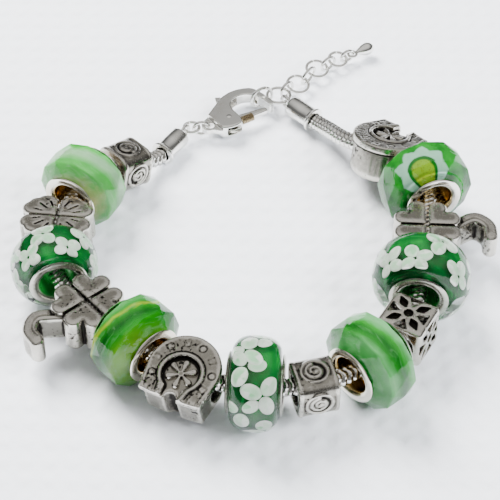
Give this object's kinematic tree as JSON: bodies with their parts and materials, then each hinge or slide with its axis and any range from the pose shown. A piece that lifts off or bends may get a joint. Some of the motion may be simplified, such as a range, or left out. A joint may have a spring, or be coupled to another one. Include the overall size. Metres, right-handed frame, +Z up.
{
  "type": "charm bracelet",
  "caption": "Closed snake-chain bracelet with large-hole glass beads, cast clover, horseshoe and leaf charms, a lobster clasp with a sprung lever and a short extender chain.",
  "frame": {"origin": "under the middle of the bracelet, on the surface it lies on", "axes": "+Z up from the surface, +Y across the bracelet towards the clasp and the extender, +X to the right as seen from the front beads"},
  "size_m": [0.075, 0.0902, 0.015],
  "materials": {
    "chain_plate": "polished silver plate over brass plates, darker between the ribs",
    "bright_plate": "bright silver plate",
    "antique_silver": "cast alloy with an antique silver finish, polished high spots and blackened recesses",
    "gilt_sleeve": "plated sleeve with a bright rim and a golden brown throat",
    "antique_sleeve": "antique silver sleeve with a rounded rim",
    "milky_glass": "polished milky light green glass with a cream streak",
    "swirled_glass": "polished green glass with lighter swirls",
    "banded_glass": "polished green glass with dark and pale bands round it",
    "clear_glass": "polished clear green glass with a white zigzag star",
    "flower_glass": "polished lampwork glass, white flowers on dark green under a clear casing"
  },
  "bodies": {
    "bracelet": {"snake_chain": "chain_plate", "facet_glass_1": "milky_glass", "facet_glass_2": "swirled_glass", "facet_glass_3": "banded_glass", "facet_glass_4": "clear_glass", "flower_glass_1": "flower_glass", "flower_glass_2": "flower_glass", "flower_glass_3": "flower_glass", "core_1": "gilt_sleeve", "core_2": "antique_sleeve", "core_3": "gilt_sleeve", "core_4": "antique_sleeve", "core_5": "gilt_sleeve", "core_6": "antique_sleeve", "core_7": "gilt_sleeve", "swirl_bead_1": "antique_silver", "swirl_bead_2": "antique_silver", "leaf_charm": "antique_silver", "clover_charm_1": "antique_silver", "clover_charm_2": "antique_silver", "horseshoe_charm_1": "antique_silver", "horseshoe_charm_2": "antique_silver", "star_bead": "antique_silver", "end_cap_left": "bright_plate", "end_cap_right": "bright_plate", "ring_left_flat": "bright_plate", "ring_left_upright": "bright_plate", "clasp_body": "bright_plate", "ring_right_upright": "bright_plate", "ring_right_flat": "bright_plate", "extender_link_1": "bright_plate", "extender_link_2": "bright_plate", "extender_link_3": "bright_plate", "extender_link_4": "bright_plate", "extender_link_5": "bright_plate", "extender_link_6": "bright_plate", "extender_link_7": "bright_plate", "drop": "bright_plate"},
    "lever": {"clasp_lever": "bright_plate"}
  },
  "joints": [
    {"name": "clasp_lever_hinge", "type": "hinge", "parent": "bracelet", "child": "lever", "pos_m": [-0.00436, 0.02388, 0.00215], "axis": [0, 0, 1], "range_deg": [0, 20], "stiffness_Nm_per_rad": 0.01, "springref_deg": -11.46}
  ]
}
